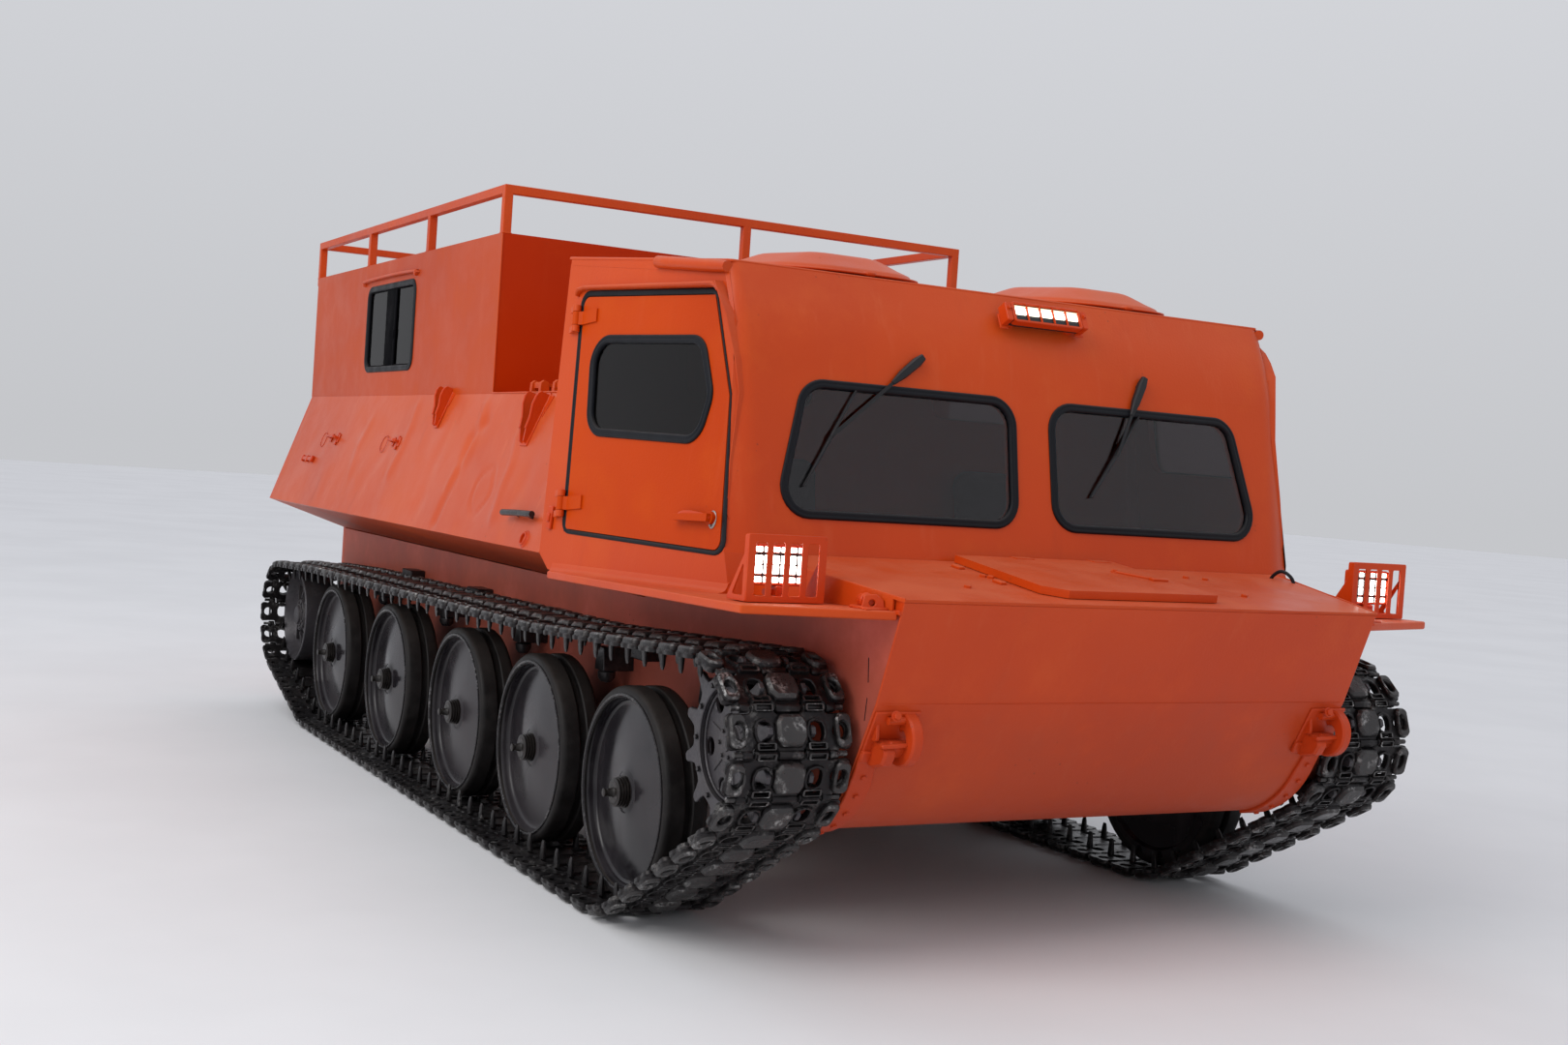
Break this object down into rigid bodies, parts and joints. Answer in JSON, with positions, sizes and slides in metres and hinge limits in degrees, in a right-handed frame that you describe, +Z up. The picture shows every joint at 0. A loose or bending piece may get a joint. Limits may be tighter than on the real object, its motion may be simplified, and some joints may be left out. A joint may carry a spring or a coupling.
{
  "type": "tracked all-terrain vehicle",
  "caption": "Tracked all-terrain vehicle with a raised cab, sloped bow, engine deck and a box body with a roof rail, on sprung road wheels.",
  "frame": {"origin": "on the ground under the middle of the overall length and width", "axes": "+X forward, +Y to the vehicle's left, +Z up"},
  "size_m": [5.8859, 2.607, 2.51],
  "materials": {
    "body_paint": "semi-matt orange paint, worn",
    "floor_paint": "matt grey paint",
    "track_steel": "dark cast steel",
    "black_steel": "black paint",
    "tyre": "solid rubber tyre",
    "lamp_body": "clear lens on a black body",
    "glass": "clear",
    "seat_cover": "black leatherette",
    "black_plastic": "matt black",
    "engine": "cast iron"
  },
  "bodies": {
    "hull": {"hull_floor": "body_paint", "hull_sides": "body_paint", "bow_plate": "body_paint", "bow_deck": "body_paint", "fender_shelves": "body_paint", "final_drives": "black_steel", "sponson_panels": "body_paint", "sponson_floors": "body_paint", "cab_front_panel": "body_paint", "cab_sides": "body_paint", "cab_roof": "body_paint", "cab_rear_wall": "body_paint", "gap_deck": "body_paint", "box_front_wall": "body_paint", "box_side_walls": "body_paint", "box_roof": "body_paint", "rear_wall": "body_paint", "interior_floor": "floor_paint", "roof_rail": "body_paint", "track_right": "track_steel", "track_left": "track_steel", "road_wheels": "black_steel", "wheel_tyres": "tyre", "idler_wheels": "black_steel", "drive_sprockets": "black_steel", "suspension_arms": "black_steel", "lamp_guards": "body_paint", "led_lamps": "lamp_body", "fixed_windows": "glass", "tow_hooks": "body_paint", "side_brackets": "body_paint", "seat_frames": "floor_paint", "seat_pads": "seat_cover", "driver_controls": "black_plastic", "engine_block": "engine"},
    "right_door": {"cab_door_right": "body_paint", "door_glass_right": "glass"},
    "left_door": {"cab_door_left": "body_paint", "door_glass_left": "glass"},
    "back_door": {"rear_door": "body_paint", "rear_door_glass": "glass"},
    "bow_lid": {"bow_hatch": "body_paint"},
    "engine_lid": {"deck_hatch": "body_paint"},
    "right_roof_lid": {"roof_hatch_right": "body_paint"},
    "left_roof_lid": {"roof_hatch_left": "body_paint"}
  },
  "joints": [
    {"name": "right_door_hinge", "type": "hinge", "parent": "hull", "child": "right_door", "pos_m": [1.38503, -1.27542, 1.28131], "axis": [0.1172, -0.0691, -0.9907], "range_deg": [0, 85]},
    {"name": "left_door_hinge", "type": "hinge", "parent": "hull", "child": "left_door", "pos_m": [1.38503, 1.27542, 1.28131], "axis": [-0.1172, -0.0691, 0.9907], "range_deg": [0, 85]},
    {"name": "rear_door_hinge", "type": "hinge", "parent": "hull", "child": "back_door", "pos_m": [-2.825, -0.434, 1.48], "axis": [0, 0, 1], "range_deg": [0, 110]},
    {"name": "bow_hatch_hinge", "type": "hinge", "parent": "hull", "child": "bow_lid", "pos_m": [2.355, 0, 1.20474], "axis": [0, -1, 0], "range_deg": [0, 75]},
    {"name": "deck_hatch_hinge", "type": "hinge", "parent": "hull", "child": "engine_lid", "pos_m": [0.64, -1.008, 1.704], "axis": [1, 0, 0], "range_deg": [0, 85]},
    {"name": "right_roof_hatch_hinge", "type": "hinge", "parent": "hull", "child": "right_roof_lid", "pos_m": [1.334, -0.53, 2.13541], "axis": [0, -1, 0], "range_deg": [0, 90]},
    {"name": "left_roof_hatch_hinge", "type": "hinge", "parent": "hull", "child": "left_roof_lid", "pos_m": [1.334, 0.53, 2.13541], "axis": [0, -1, 0], "range_deg": [0, 90]}
  ]
}
